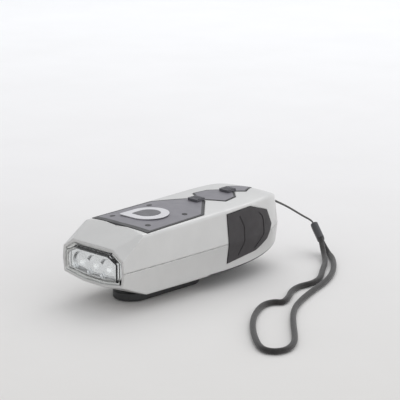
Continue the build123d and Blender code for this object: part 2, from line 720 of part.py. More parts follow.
def cells(low):
    """Three rechargeable cells in a cradle between the lamp and the gears."""
    group = []
    for step in range(3):
        y = CELL_FRONT_Y + CELL_PITCH * step
        group.append(rod_x(y, CELL_Z, -CELL_LENGTH / 2, CELL_LENGTH / 2, CELL_R)
                     + rod_x(y, CELL_Z, CELL_LENGTH / 2, CELL_LENGTH / 2 + 0.8, 1.6))
    middle = CELL_FRONT_Y + CELL_PITCH
    length = 2 * CELL_PITCH + 2 * CELL_R + 1
    cradle = block(0, middle, CELL_Z - CELL_R - 1.0, CELL_LENGTH + 4.2, length, CELL_R)
    cradle -= block(0, middle, CELL_Z - CELL_R + 0.2, CELL_LENGTH + 2.0, length + 2, 10)
    ends = block(0, middle, CELL_Z - CELL_R - 1.0, CELL_LENGTH + 4.2, length, 2 * CELL_R)
    ends -= block(0, middle, CELL_Z - CELL_R - 2, CELL_LENGTH + 2.0, length + 2, 20)
    cradle += ends
    for cell in group:
        cradle -= cell
    keep("cell_cradle", cradle)
    keep("cells", Compound(children=group))
    rest = block(0, middle, 5, CELL_LENGTH - 4, length - 6, CELL_Z - CELL_R - 6.0) & inside
    return low + rest


def main_board(high):
    """Circuit board hung under the top, with the switches worked from outside."""
    low = BOARD_Z
    board = block(0, (BOARD_FRONT_Y + BOARD_REAR_Y) / 2, low, 2 * BOARD_HALF, BOARD_REAR_Y - BOARD_FRONT_Y, BOARD_H)
    screws = []
    for x, y in SCREW_SPOTS:
        board -= rod(x, y, 0, ABOVE, BOSS_R + 0.3)
    for x, y in BOARD_SCREWS:
        high += rod(x, y, low + BOARD_H, ABOVE, 2.2) & (inside + rod(x, y, low + BOARD_H, low + BOARD_H + 1, 2.2))
        high -= rod(x, y, low, low + BOARD_H + 4, 0.9)
        board -= rod(x, y, 0, ABOVE, 1.0)
        screws.append(rod(x, y, low - 0.2, low + BOARD_H + 3.5, 0.9) + rod(x, y, low - 1.2, low, 1.8)
                      - block(x, y, low - 2, 2.4, 0.5, 1.4))
    keep("board_screws", Compound(children=screws))
    keep("main_board", board)
    top = low + BOARD_H
    selector = block(0, KNOB_Y, top, 13, 13, 4.2) + rod(0, KNOB_Y, top + 4, top + 5.0, 4.5)
    keep("selector_switch", selector - leaning(rod(0, KNOB_Y, top + 1.0, ABOVE, KNOB_SHAFT_R + 0.05)))
    chips = [block(-9, -8, top, 7, 7, 1.2), block(8, -9, top, 5, 9, 1.4), block(-7, 22, top, 6, 8, 1.6)]
    keep("board_chips", Compound(children=chips))
    keep("storage_capacitor", rod(9.5, 24, top, top + 5.0, 4.0))
    return high


def leaning(solid):
    """The solid tipped about the selector, square to the sloping top."""
    return solid.rotate(Axis((0, KNOB_Y, ridge_z(KNOB_Y)), (1, 0, 0)), math.degrees(RIDGE_RISE))


def knob(high, panel):
    """Rotary selector with a leaf-shaped knob."""
    low = ridge_z(KNOB_Y) + PROUD + KNOB_LIFT
    top = low + KNOB_HEIGHT

    def leaf(radius, base, height):
        disc = Pos(0, KNOB_Y, base) * Circle(radius)
        corner = Pos(-radius / 2, KNOB_Y - radius / 2, base) * Rectangle(radius, radius)
        return extrude(disc + corner, height)

    body = leaf(KNOB_R, low, KNOB_HEIGHT)
    body = fillet(body.edges().group_by(Axis.Z)[-1], 0.4)
    body -= leaf(KNOB_INSERT_R, top - 0.9, 2)
    stem = rod(0, KNOB_Y, BOARD_Z + BOARD_H + 1.2, low + 0.5, KNOB_SHAFT_R)
    keep("selector_knob", leaning(body + stem))
    cap = leaf(KNOB_INSERT_R, top - 0.9, 1.15)
    keep("selector_insert", leaning(fillet(cap.edges().group_by(Axis.Z)[-1], 0.25)))
    well = leaning(rod(0, KNOB_Y, 30, ABOVE + 10, KNOB_SHAFT_R + RUN_GAP))
    return high - well, panel - well


def slider(y, name, high, trims):
    """A ribbed slide switch: cap and stem above, contact block below."""
    low = ridge_z(y) + PROUD + 0.12
    cap = block(0, y, low, SLIDER_X, SLIDER_Y, SLIDER_HEIGHT)
    cap = fillet(cap.edges().filter_by(Axis.Z), 0.8)
    pitch = SLIDER_Y / (RIBS + 1)
    for step in range(RIBS):
        spot = y - SLIDER_Y / 2 + pitch * (step + 1)
        cap -= block(0, spot, low + SLIDER_HEIGHT - 0.55, SLIDER_X + 2, pitch * 0.5, 1)
    top = BOARD_Z + BOARD_H
    cap += block(0, y, top + 2.6, STEM_X, STEM_Y, low - top - 2.4)
    keep(name, cap)
    front = y - STEM_Y / 2 - SLIDER_STROKE - 0.2
    rear = y + STEM_Y / 2 + 0.2
    slot = block(0, (front + rear) / 2, top + 2.3, STEM_X + 0.3, rear - front, 30)
    box = block(0, (front + rear) / 2, top, 8.5, rear - front + 3.0, 3.6)
    keep(name.replace("slider", "switch"), box - slot)
    return high - slot, [trim - slot for trim in trims]


# Lanyard

def lanyard(high):
    """Anchor pin in a slot at the tail, the thin loop, the ferrule and the wrist strap."""
    boss = rod(0, PIN_Y, LUG_Z - 5, LUG_Z + 6, 7.5) & outer
    high += boss & half_space(True)
    slot = block(0, LOOP_Y + 10 - CORD_D, LUG_Z - SLOT_H / 2, 2 * SLOT_HALF, 20, SLOT_H)
    slot = fillet(slot.edges().filter_by(Axis.Z).group_by(Axis.Y)[0], SLOT_HALF - 0.3)
    high -= slot
    pin = rod(0, PIN_Y, LUG_Z - 3.2, LUG_Z + 3.2, PIN_R)
    high -= pin
    keep("lanyard_pin", pin)
    keep("lanyard_cord", tube(cord_route(), CORD_D, "lanyard_cord"))
    keep("wrist_strap", tube(strap_route(), STRAP_D, "wrist_strap"))
    way = Vector(*FERRULE_END) - Vector(*FERRULE_TOP)
    plane = Plane(FERRULE_TOP, x_dir=stack_way(), z_dir=way)
    face = plane * SlotOverall(2 * STRAP_D + 1.4, STRAP_D + 1.3)
    body = extrude(face, way.length)
    keep("ferrule", fillet(body.edges(), 0.5))
    return high


def stack_way():
    """Direction in which the two strands lie beside each other in the ferrule."""
    way = (Vector(*FERRULE_END) - Vector(*FERRULE_TOP)).normalized()
    side = Vector(*STACK)
    return (side - way * side.dot(way)).normalized()


def cord_route():
    """Route of the thin doubled cord, from the ferrule round the pin and back."""
    top = Vector(*FERRULE_TOP)
    way = (top - Vector(*FERRULE_END)).normalized()
    side = stack_way() * 0.6
    half = CORD_D * 3.4
    out = [top + side, top + side + way * 3.2]
    back = [top - side, top - side + way * 3.2]
    for x, y, z in CORD_POINTS:
        out.append(Vector(x + 0.1, y, z) + side)
        back.append(Vector(x - 0.1, y, z) - side)
    loop = [Vector(half, LUG_OUT_Y, LUG_Z - 0.3), Vector(half, LOOP_Y, LUG_Z)]
    loop += [Vector(-half, LOOP_Y, LUG_Z), Vector(-half, LUG_OUT_Y, LUG_Z - 0.3)]
    return [tuple(p) for p in out + loop + back[::-1]]


def strap_route():
    """Route of the braided strap, out of the ferrule, round its loop and back."""
    end = Vector(*FERRULE_END)
    way = (end - Vector(*FERRULE_TOP)).normalized()
    side = stack_way() * (STRAP_D / 2 + 0.1)
    far, near = end - side, end + side
    drop = (far.Z - STRAP_D / 2) / -way.Z
    route = [far, far + way * drop]
    route += [Vector(x, y, STRAP_D / 2) for x, y in STRAP_POINTS]
    route += [near + way * 9, near]
    return [tuple(p) for p in route]


def tube(route, diameter, name):
    """A round cord through the route: straight runs joined by tangent arcs."""
    radii = []
    for a, b, c in zip(route, route[1:], route[2:]):
        u, v = Vector(*b) - Vector(*a), Vector(*c) - Vector(*b)
        turn = math.radians(u.get_angle(v))
        radii.append(min(12 * diameter, 0.45 * min(u.length, v.length) / math.tan(turn / 2)))
    tight = min(range(len(radii)), key=lambda i: radii[i])
    path = FilletPolyline(*route, radius=radii)
    start = Plane(route[0], z_dir=Vector(*route[1]) - Vector(*route[0]))
    solid = sweep(start * Circle(diameter / 2), path=path)
    expected = math.pi * diameter ** 2 / 4 * path.length
    print(name, "smallest radius", round(min(radii), 2), "at point", tight + 1, "length", round(path.length, 1),
          "volume", round(solid.volume, 1), "section x length", round(expected, 1))
    return solid


def build():
    high, low = shell_pair()
    for points in (PANEL, MIDDLE, TAIL):
        high -= pocket_tool(points)
    grip_pocket = grip_outline(GRIP_GAP) - grip_floor
    for side in (grip_pocket, mirror(grip_pocket, about=Plane.YZ)):
        high -= side
        low -= side
    high, low, screws = case_screws(high, low)
    keep("case_screws", screws)
    low += rod(0, CRANK_Y, 5, GEAR_Z1 - 0.5, BUSH_OUT_R + 2.0) & inside
    low = gear_plate(low)
    low = cells(low)
    low -= rod(0, CRANK_Y, 0, 20, BUSH_OUT_R)
    keep("crank_bush", rod(0, CRANK_Y, POD_Z, GEAR_Z1 - 0.4, BUSH_OUT_R) - rod(0, CRANK_Y, 0, 20, CRANK_SHAFT_R + AXLE_GAP))
    high = main_board(high)
    panel, middle, tail = (trim_piece(points) for points in (PANEL, MIDDLE, TAIL))
    high, panel = knob(high, panel)
    high, (panel,) = slider(SLIDER_1_Y, "front_slider", high, [panel])
    high, (middle,) = slider(SLIDER_2_Y, "rear_slider", high, [middle])
    marks = []
    for x in (-MARK_X, MARK_X):
        for y in (KNOB_Y - MARK_X, KNOB_Y + MARK_X):
            floor = ridge_z(y) + PROUD - CROWN_DROP * (MARK_X / CROWN_HALF) ** 2 - 0.5
            panel -= rod(x, y, floor, ABOVE, MARK_SIZE)
            marks.append(rod(x, y, floor, floor + 0.65, MARK_SIZE))
    keep("position_marks", Compound(children=marks))
    high = lanyard(high)
    keep("upper_shell", high)
    keep("lower_shell", low)
    keep("top_panel", panel)
    keep("middle_trim", middle)
    keep("tail_trim", tail)
    grip = (grip_outline(0) & grip_skin) - grip_floor - (groove_tool() - form(GROOVE_DEPTH - GRIP_PROUD))
    keep("grip_right", grip)
    keep("grip_left", mirror(grip, about=Plane.YZ))
    keep("belly_cover", belly_pod())
    keep("crank_arm", crank_arm())
    keep("crank_handle", crank_handle())
    keep("hinge_pin", rod_x(HANDLE_HINGE_Y, HINGE_Z, -HINGE_LENGTH / 2, HINGE_LENGTH / 2, HINGE_R))
    shaft = rod(0, CRANK_Y, 0.6, GEAR_Z1 + GEAR_H1 + 0.2, CRANK_SHAFT_R)
    keep("crank_shaft", shaft)
    keep("hub_cap", fillet(rod(0, CRANK_Y, 0, 0.6, CAP_R).edges().group_by(Axis.Z)[0], 0.2))
    gear_train()
    generator()
    lamp()


build()
for name, solid in nodes.items():
    export_step(solid, f"parts/{name}.step")
    print(name, len(solid.solids()), round(solid.volume, 1), solid.is_valid)
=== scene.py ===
import json
import math

import bpy
import numpy as np
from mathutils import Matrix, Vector


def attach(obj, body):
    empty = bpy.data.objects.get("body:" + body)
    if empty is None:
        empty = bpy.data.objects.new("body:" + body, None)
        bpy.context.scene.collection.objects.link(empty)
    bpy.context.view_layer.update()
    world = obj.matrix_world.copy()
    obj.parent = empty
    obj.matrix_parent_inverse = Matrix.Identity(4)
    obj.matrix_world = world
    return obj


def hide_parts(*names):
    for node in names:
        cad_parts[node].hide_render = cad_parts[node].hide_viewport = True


# A hand crank flashlight lying on its folded crank, on a pale table. Metres throughout.

MM = 0.001

# Camera
CAMERA_AT = (0.6918, -0.6951, 0.3050)
CAMERA_TILT = 75.55
CAMERA_TURN = 44.3
SENSOR = 36.0
LENS = 146.7
CLIP_START = 0.05

# Table: its colour from close by to far off, with painted shade close by and painted light far off, and where along
# the camera's way each change lies
TABLE_R = 4.0
TABLE_ROUND = 96
TABLE_DROP = 0.0001
TABLE_CLOSE_PAINTED_SHADE = (0.73, 0.715, 0.69)
TABLE_MIDDLE = (0.85, 0.84, 0.84)
TABLE_FAR_PAINTED_LIGHT = (0.97, 0.975, 0.985)
TABLE_CLOUD = (0.55, 0.54, 0.52)
MIDDLE_SPAN = (-0.3, 0.27)
FAR_SPAN = (0.22, 1.2)
CLOUD_SIZE = 90 * MM
CLOUD_SHARE = (0.0, 0.06)
TABLE_GLOSS_SIZE = 20 * MM
TABLE_ROUGH = (0.6, 0.75)
TABLE_GRAIN = 1.5 * MM
TABLE_GRAIN_DEPTH = 0.05 * MM

# Light: a room that is brightest one way, and two lamps as (name, place, aim, size, watts)
ROOM_TINT = (0.97, 0.98, 1.0, 1.0)
ROOM_BRIGHT_WAY = (0.8, 0.6, 0.0)
ROOM_LEVELS = (0.56, 1.08)
LAMPS = [
    ("overhead", (-0.5, 1.0, 1.6), (0, 0, 0.02), (2.0, 1.6), 10.0),
    ("side_fill", (1.5, 0.5, 0.45), (0, 0, 0.03), (1.4, 0.8), 1.4),
]

# Cord routes
ROUTE_ORDER = 3
ROUTE_STEPS = 24

# Wrist strap, a braided cord
STRAP_D = 3.6 * MM
STRAP_POINTS = [
    (0.0217, 0.1070, 0.0087), (0.0285, 0.1055, 0.0020), (0.0370, 0.1003, 0.0018), (0.0500, 0.0865, 0.0018),
    (0.0605, 0.0720, 0.0018), (0.0685, 0.0560, 0.0018), (0.0740, 0.0385, 0.0018), (0.0805, 0.0205, 0.0018),
    (0.0870, 0.0065, 0.0018), (0.0960, -0.0065, 0.0018), (0.1085, -0.0205, 0.0018), (0.1210, -0.0335, 0.0018),
    (0.1300, -0.0440, 0.0018), (0.1350, -0.0560, 0.0018), (0.1310, -0.0640, 0.0018), (0.1225, -0.0640, 0.0018),
    (0.1080, -0.0530, 0.0018), (0.0920, -0.0375, 0.0018), (0.0795, -0.0215, 0.0018), (0.0715, -0.0060, 0.0018),
    (0.0725, 0.0030, 0.0018), (0.0775, 0.0055, 0.0018), (0.0735, 0.0150, 0.0018), (0.0660, 0.0260, 0.0018),
    (0.0630, 0.0370, 0.0018), (0.0650, 0.0470, 0.0018), (0.0620, 0.0585, 0.0018), (0.0510, 0.0735, 0.0018),
    (0.0415, 0.0880, 0.0018), (0.0310, 0.0985, 0.0040), (0.0233, 0.1044, 0.0111),
]
BRAID_YARNS = 8
BRAID_LAY = 11.0 * MM
BRAID_RELIEF = 0.22 * MM
BRAID_ROUND = 48
BRAID_STEP = 0.4 * MM
OVER_SHARE = 0.7
UNDER_SHARE = 0.3

# Thin doubled cord between the tail and the ferrule
CORD_D = 0.9 * MM
CORD_POINTS = [
    (0.0144, 0.1079, 0.0183), (0.0122, 0.1086, 0.0204), (0.0079, 0.1042, 0.0237), (0.0037, 0.0936, 0.0313),
    (0.0011, 0.0861, 0.0356), (0.0031, 0.0789, 0.0389), (0.0031, 0.0702, 0.0392), (-0.0031, 0.0702, 0.0392),
    (-0.0031, 0.0789, 0.0389), (0.0005, 0.0869, 0.0348), (0.0031, 0.0944, 0.0305), (0.0073, 0.1050, 0.0229),
    (0.0117, 0.1094, 0.0197), (0.0140, 0.1087, 0.0175),
]
CORD_YARNS = 3
CORD_LAY = 2.6 * MM
CORD_RELIEF = 0.09 * MM
CORD_ROUND = 24
CORD_STEP = 0.2 * MM

# Reflector behind the lens, millimetres: outlines as (x, bottom, top)
WINDOW = [(-20.9, 21.8, 31.0), (-14.0, 21.0, 34.3), (-7.2, 20.2, 34.3), (7.2, 20.2, 34.3), (14.0, 21.0, 34.3),
          (20.9, 21.8, 31.0)]
FLANGE = [(-22.7, 20.3, 32.0), (-15.2, 19.4, 36.0), (-7.8, 18.5, 36.0), (7.8, 18.5, 36.0), (15.2, 19.4, 36.0),
          (22.7, 20.3, 32.0)]
WINDOW_Y = -75.3
BACK_Y = -66.9
FLANGE_Y = (-73.4, -72.2)
CUP_PITCH = 11.7
CUP_Z = 25.6
CUP_R = 7.0
CUP_DEPTH = 8.0
LED_HOLE = 2.7
RIPPLE = 0.07
RIPPLE_PITCH = 1.15
WINDOW_GRID = (240, 90)
FLANGE_GRID = (24, 10)

# Frame round the reflector, just behind the lens, millimetres
LENS_HALF = 26.1
LENS_TALL = 24.5
LENS_MIDDLE_Z = 27.25
LENS_CORNERS = [(9.0, 15.0), (LENS_HALF, 17.8), (LENS_HALF, 33.8), (17.5, 39.5)]
FRAME_INSETS = (2.1, 4.9)
FRAME_Y = (-75.4, -74.95)

# Top panel's surface, millimetres: it falls towards the front and is crowned across
PANEL_Z = 51.45
PANEL_FALL = 3.0
PANEL_RUN = 102.0
PANEL_REAR_Y = 46.0
PANEL_CROWN = 1.3
PANEL_HALF = 23.4

# Position dots round the selector, millimetres: the profile as (share of the radius, height)
DOTS = [(-15.5, -46.5), (15.5, -46.5), (-15.5, -15.5), (15.5, -15.5)]
DOT_R = 1.8
DOT_DEPTH = 0.5
DOT_PROUD = 0.16
DOT_ROUND = 40
DOT_PROFILE = [(0.0, 0.0), (0.5, 0.0), (0.85, -0.02), (1.0, -0.09), (1.0, -DOT_DEPTH)]

# Selector knob, millimetres: levels as (radius, tip rounding, height over the panel)
SELECTOR_Y = -31.0
SELECTOR_Z = 48.935
LEAF_ROUND = 72
TIP_ROUND = 12
DIAL_R = 12.8
INSET_R = 7.4
DIAL_LEVELS = [
    (2.5, 1.0, -10.5), (2.5, 1.0, 0.36), (12.3, 1.6, 0.36), (DIAL_R, 1.6, 0.45), (DIAL_R, 1.6, 0.8),
    (DIAL_R - 0.12, 1.5, 0.97), (DIAL_R - 0.45, 1.4, 1.06), (INSET_R + 0.2, 1.2, 1.12), (INSET_R + 0.1, 1.2, 1.05),
    (INSET_R + 0.1, 1.2, 0.6),
]
INSET_LEVELS = [
    (INSET_R, 1.1, 0.62), (INSET_R, 1.1, 1.06), (INSET_R - 0.15, 1.0, 1.2), (INSET_R - 0.5, 0.9, 1.28),
    (INSET_R * 0.7, 0.8, 1.38), (INSET_R * 0.35, 0.5, 1.43),
]

# Black borders of the trim plates, the plates' dark edges with painted shadow of the gaps round them, millimetres: (x,
# y, x, y, width) for each edge of the +X half
PANEL_EDGE_AND_GAP_SHADE = [(0, -57.9, 24.4, -55.6, 4.0), (24.4, -55.6, 23.4, -7.0, 1.8), (23.4, -7.0, 4.4, 13.5, 1.8)]
MIDDLE_EDGE_AND_GAP_SHADE = [(4.4, 15.5, 14.5, 22.0, 1.2), (14.5, 22.0, 12.5, 33.0, 1.2), (12.5, 33.0, 4.4, 40.0, 1.2)]
TAIL_EDGE_AND_GAP_SHADE = [(4.4, 42.0, 9.0, 46.5, 1.2), (9.0, 46.5, 0.0, 62.0, 1.2)]
BORDER_FADE = 0.25

# Where black takes over, from none to all of it, millimetres, and for the tilt the normal's Z
UNDER_TILT = (-0.2, -0.3)
UNDER_FRONT_Y = (-8, -4)
UNDER_REAR_Y = (66, 62)
# On the lens frame this black is painted shade and dark reflection along its top and down its near side.
FRAME_TOP_Z = (31.6, 32.4)
FRAME_TOP_X = (-17, -12)
FRAME_NEAR_X = (21.9, 22.4)

# Looks: colours, the middle of a noise's values, and the bevel normal's agreement away from and on an edge
SILVER = (0.61, 0.607, 0.597)
TRIM_GREY = (0.19, 0.183, 0.205)
# The border black is the trim plates' dark edges together with painted shadow of the gaps round them.
BORDER_BLACK_AND_GAP_SHADE = (0.016, 0.016, 0.018)
UNDER_BLACK = (0.015, 0.015, 0.015)
# The frame black is painted shade and dark reflection, not the frame's own colour.
FRAME_PAINTED_SHADE = (0.02, 0.02, 0.02)
SPREAD = (0.3, 0.7)
OFF_EDGE = 0.99
ON_EDGE = 0.85
EDGE_SAMPLES = 4

# Sizes of the noises in each kind of material, the values over which each takes hold, and what it does
MOTTLE_SIZE = 14 * MM
SPECK_SIZE = 0.6 * MM
SPECK_CUT = (0.62, 0.74)
SPECK_SHARE = 0.25
RUB_SIZE = 3 * MM
RUB_CUT = (0.4, 0.65)
GLOSS_SIZE = 6 * MM
GLOSS_SWING = (0.86, 1.14)
FILM_SIZE = 4 * MM
FILM_CUT = (0.35, 0.7)
LINE_SIZE = 0.3 * MM
LINE_SWING = (0.8, 1.3)
DUST_SIZE = 0.5 * MM
DUST_CUT = (0.7, 0.8)
DUST_SHADE = 0.9
HAZE_SIZE = 5 * MM
HAZE_CUT = (0.3, 0.75)
HAZE_RISE = 2.5
FLOW_SIZE = 9 * MM
FLOW_STRETCH = (1, 1, 3)
FLOW_DEPTH = 0.05 * MM
FLOW_STRENGTH = 0.4
# Colour of the painted glow that stands in for highlights on parts that are not lit.
PAINTED_GLOW_COLOUR = (1.0, 1.0, 0.98, 1.0)
CLOTH_SIZE = 5 * MM
CLOTH_SWING = (0.75, 1.35)
CLOTH_GLOSS_SIZE = 2 * MM
CLOTH_ROUGH = (0.7, 0.95)
FLECK_CUT = (0.66, 0.72)
FLECK_SHARE = 0.7
FIBRE_DEPTH = 0.05 * MM

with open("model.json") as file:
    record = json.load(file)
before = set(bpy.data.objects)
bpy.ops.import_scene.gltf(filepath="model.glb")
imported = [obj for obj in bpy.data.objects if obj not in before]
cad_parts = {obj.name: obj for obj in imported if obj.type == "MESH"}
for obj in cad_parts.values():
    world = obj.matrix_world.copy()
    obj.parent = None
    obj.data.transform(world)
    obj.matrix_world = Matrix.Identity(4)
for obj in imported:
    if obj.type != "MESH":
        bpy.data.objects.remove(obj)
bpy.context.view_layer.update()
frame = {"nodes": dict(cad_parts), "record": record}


# Materials


class Surface:
    """One material and the node helpers that build it up."""

    def __init__(self, name):
        self.material = bpy.data.materials.new(name)
        self.material.use_nodes = True
        self.tree = self.material.node_tree
        self.tree.nodes.clear()
        self.output = self.tree.nodes.new("ShaderNodeOutputMaterial")
        self.shader = self.tree.nodes.new("ShaderNodeBsdfPrincipled")
        self.tree.links.new(self.shader.outputs[0], self.output.inputs["Surface"])
        self.place = self.tree.nodes.new("ShaderNodeTexCoord").outputs["Object"]

    def set(self, **values):
        for name, value in values.items():
            self.shader.inputs[name.replace("_", " ")].default_value = value

    def node(self, kind, **settings):
        made_node = self.tree.nodes.new(kind)
        for name, value in settings.items():
            setattr(made_node, name, value)
        return made_node

    def link(self, source, target):
        self.tree.links.new(source, target)

    def noise(self, size, detail=3.0, roughness=0.55, stretch=None):
        """Noise whose features are about that size, in metres."""
        texture = self.node("ShaderNodeTexNoise")
        texture.inputs["Scale"].default_value = 1 / size
        texture.inputs["Detail"].default_value = detail
        texture.inputs["Roughness"].default_value = roughness
        source = self.place
        if stretch:
            mapping = self.node("ShaderNodeMapping")
            mapping.inputs["Scale"].default_value = stretch
            self.link(source, mapping.inputs["Vector"])
            source = mapping.outputs[0]
        self.link(source, texture.inputs["Vector"])
        return texture.outputs[0]

    def ranged(self, value, low, high, to_low=0.0, to_high=1.0):
        mapped = self.node("ShaderNodeMapRange")
        for name, number in (("From Min", low), ("From Max", high), ("To Min", to_low), ("To Max", to_high)):
            mapped.inputs[name].default_value = number
        self.link(value, mapped.inputs["Value"])
        return mapped.outputs[0]

    def math(self, operation, first, second):
        node = self.node("ShaderNodeMath", operation=operation)
        for slot, value in zip(node.inputs, (first, second)):
            if isinstance(value, (int, float)):
                slot.default_value = value
            else:
                self.link(value, slot)
        return node.outputs[0]

    def mixed(self, share, first, second):
        """Colour between two colours, each a value or a socket."""
        mix = self.node("ShaderNodeMix", data_type="RGBA")
        self.link(share, mix.inputs["Factor"])
        for slot, value in ((mix.inputs["A"], first), (mix.inputs["B"], second)):
            if isinstance(value, tuple):
                slot.default_value = (*value, 1.0)
            else:
                self.link(value, slot)
        return mix.outputs["Result"]

    def axis(self, letter):
        """A point's own X, Y or Z in the shared frame."""
        parts = self.node("ShaderNodeSeparateXYZ")
        self.link(self.place, parts.inputs[0])
        return parts.outputs[letter]

    def over(self, letter, span):
        """From 0 to 1 over a span along an axis, in millimetres."""
        return self.ranged(self.axis(letter), span[0] * MM, span[1] * MM)

    def edges(self, radius):
        """How near a point lies to an edge, from 0 to 1, and the rounded normal there."""
        bevel = self.node("ShaderNodeBevel", samples=EDGE_SAMPLES)
        bevel.inputs["Radius"].default_value = radius
        geometry = self.node("ShaderNodeNewGeometry")
        dot = self.node("ShaderNodeVectorMath", operation="DOT_PRODUCT")
        self.link(bevel.outputs[0], dot.inputs[0])
        self.link(geometry.outputs["Normal"], dot.inputs[1])
        return self.ranged(dot.outputs["Value"], OFF_EDGE, ON_EDGE), bevel.outputs[0]

    def bump(self, height, depth, normal=None, strength=1.0):
        bump = self.node("ShaderNodeBump")
        bump.inputs["Strength"].default_value = strength
        bump.inputs["Distance"].default_value = depth
        self.link(height, bump.inputs["Height"])
        if normal:
            self.link(normal, bump.inputs["Normal"])
        return bump.outputs[0]


def shade(colour, by):
    return tuple(min(1.0, channel * by) for channel in colour)


def moulded(name, colour, rough, grain=0.25 * MM, depth=0.01 * MM, mottle=0.06, wear=None, rounding=0.0, over=None,
            **settings):
    """Moulded plastic, rubber or painted plastic: mottling, fine grain, uneven gloss, worn edges in the wear colour; a
    light wear colour, as on the silver, is also a painted highlight along the edges and creases.

    over is a place on it, as a function of the surface, and the colour that it has there.
    """
    surface = Surface(name)
    surface.set(**settings)
    broad = surface.ranged(surface.noise(MOTTLE_SIZE), *SPREAD)
    tone = surface.mixed(broad, shade(colour, 1 - mottle), shade(colour, 1 + mottle))
    specks = surface.ranged(surface.noise(SPECK_SIZE, detail=2.0), *SPECK_CUT)
    tone = surface.mixed(surface.math("MULTIPLY", specks, SPECK_SHARE), tone, shade(colour, 1 + 3 * mottle))
    normal = None
    if rounding:
        near_edge, normal = surface.edges(rounding)
        # Near edges the wear colour takes over: on the silver this is worn paint and a painted highlight along the
        # creases.
        if wear:
            rub_and_highlight_patches = surface.ranged(surface.noise(RUB_SIZE, detail=5.0), *RUB_CUT)
            tone = surface.mixed(surface.math("MULTIPLY", near_edge, rub_and_highlight_patches), tone, wear)
    if over:
        where, paint = over
        tone = surface.mixed(where(surface), tone, paint)
    surface.link(tone, surface.shader.inputs["Base Color"])
    least, most = GLOSS_SWING
    gloss = surface.ranged(surface.noise(GLOSS_SIZE, detail=6.0), *SPREAD, rough * least, rough * most)
    surface.link(gloss, surface.shader.inputs["Roughness"])
    height = surface.noise(grain, detail=2.0)
    surface.link(surface.bump(height, depth, normal), surface.shader.inputs["Normal"])
    return surface.material


def metal(name, colour, rough, brushed=(1, 1, 1), wear=0.12, depth=0.006 * MM):
    """Bare or plated metal with drawn or turned lines and a dull film in places."""
    surface = Surface(name)
    surface.set(Metallic=1.0)
    film = surface.ranged(surface.noise(FILM_SIZE, detail=5.0), *FILM_CUT)
    surface.link(surface.mixed(film, colour, shade(colour, 1 - wear)), surface.shader.inputs["Base Color"])
    lines = surface.noise(LINE_SIZE, detail=4.0, stretch=brushed)
    least, most = LINE_SWING
    surface.link(surface.ranged(lines, *SPREAD, rough * least, rough * most), surface.shader.inputs["Roughness"])
    surface.link(surface.bump(lines, depth), surface.shader.inputs["Normal"])
    return surface.material


def clear(name, colour, rough, ior=1.49, painted_glow=0.0):
    """Clear moulded plastic with faint flow lines, a few dust specks and a painted glow where one is given."""
    surface = Surface(name)
    surface.set(IOR=ior, Transmission_Weight=1.0, Emission_Color=PAINTED_GLOW_COLOUR, Emission_Strength=painted_glow)
    dust = surface.ranged(surface.noise(DUST_SIZE, detail=2.0), *DUST_CUT)
    surface.link(surface.mixed(dust, colour, shade(colour, DUST_SHADE)), surface.shader.inputs["Base Color"])
    haze = surface.ranged(surface.noise(HAZE_SIZE, detail=4.0), *HAZE_CUT, rough, rough * HAZE_RISE)
    surface.link(haze, surface.shader.inputs["Roughness"])
    flow = surface.noise(FLOW_SIZE, detail=1.0, stretch=FLOW_STRETCH)
    surface.link(surface.bump(flow, FLOW_DEPTH, strength=FLOW_STRENGTH), surface.shader.inputs["Normal"])
    return surface.material


def fabric(name, colour, fleck, yarn):
    """Dark polyester yarn with a soft sheen and pale broken fibres."""
    surface = Surface(name)
    surface.set(Sheen_Weight=0.35, Sheen_Roughness=0.5, Specular_IOR_Level=0.3)
    broad = surface.ranged(surface.noise(CLOTH_SIZE), *SPREAD)
    tone = surface.mixed(broad, *(shade(colour, swing) for swing in CLOTH_SWING))
    sparks = surface.ranged(surface.noise(yarn, detail=3.0, roughness=0.7), *FLECK_CUT)
    tone = surface.mixed(surface.math("MULTIPLY", sparks, FLECK_SHARE), tone, fleck)
    surface.link(tone, surface.shader.inputs["Base Color"])
    gloss = surface.ranged(surface.noise(CLOTH_GLOSS_SIZE), *SPREAD, *CLOTH_ROUGH)
    surface.link(gloss, surface.shader.inputs["Roughness"])
    fibre = surface.noise(yarn / 2, detail=2.0)
    surface.link(surface.bump(fibre, FIBRE_DEPTH), surface.shader.inputs["Normal"])
    return surface.material


def dark_edge_and_gap_shade(edges):
    """A band along a trim plate's outline, its dark edge and painted shadow of the gap round it, as (x, y, x, y,
    width) for each edge of its +X half, in millimetres.
    """
    def where(surface):
        outward = surface.math("ABSOLUTE", surface.axis("X"), 0.0)
        band = None
        for x0, y0, x1, y1, width in edges:
            length = math.hypot(x1 - x0, y1 - y0)
            nx, ny = -(y1 - y0) / length, (x1 - x0) / length
            inward = surface.math("ADD", surface.math("MULTIPLY", outward, nx),
                                  surface.math("MULTIPLY", surface.axis("Y"), ny))
            off = (x0 * nx + y0 * ny) * MM
            near = surface.ranged(inward, off + width * MM, off + (width - BORDER_FADE) * MM)
            band = surface.math("MAXIMUM", band, near) if band else near
        return band
    return where


def outlined(name, edges):
    """The grey of a trim plate, with its dark edge and the painted shadow of the gap round it."""
    return moulded(name, TRIM_GREY, 0.42, depth=0.008 * MM, over=(dark_edge_and_gap_shade(edges), BORDER_BLACK_AND_GAP_SHADE))


def rear_underside(surface):
    """Where the lower shell is black: all of it that faces down, from behind the middle almost to the tail."""
    facing = surface.node("ShaderNodeSeparateXYZ")
    surface.link(surface.node("ShaderNodeNewGeometry").outputs["Normal"], facing.inputs[0])
    down = surface.ranged(facing.outputs["Z"], *UNDER_TILT)
    along = surface.math("MULTIPLY", surface.over("Y", UNDER_FRONT_Y), surface.over("Y", UNDER_REAR_Y))
    return surface.math("MULTIPLY", down, along)


def lens_frame_painted_shade(surface):
    """Where the lens frame is painted dark, as painted shade and dark reflection at the lens's top and near side:
    along its top and down the near side.
    """
    top = surface.math("MULTIPLY", surface.over("Z", FRAME_TOP_Z), surface.over("X", FRAME_TOP_X))
    return surface.math("MAXIMUM", top, surface.over("X", FRAME_NEAR_X))
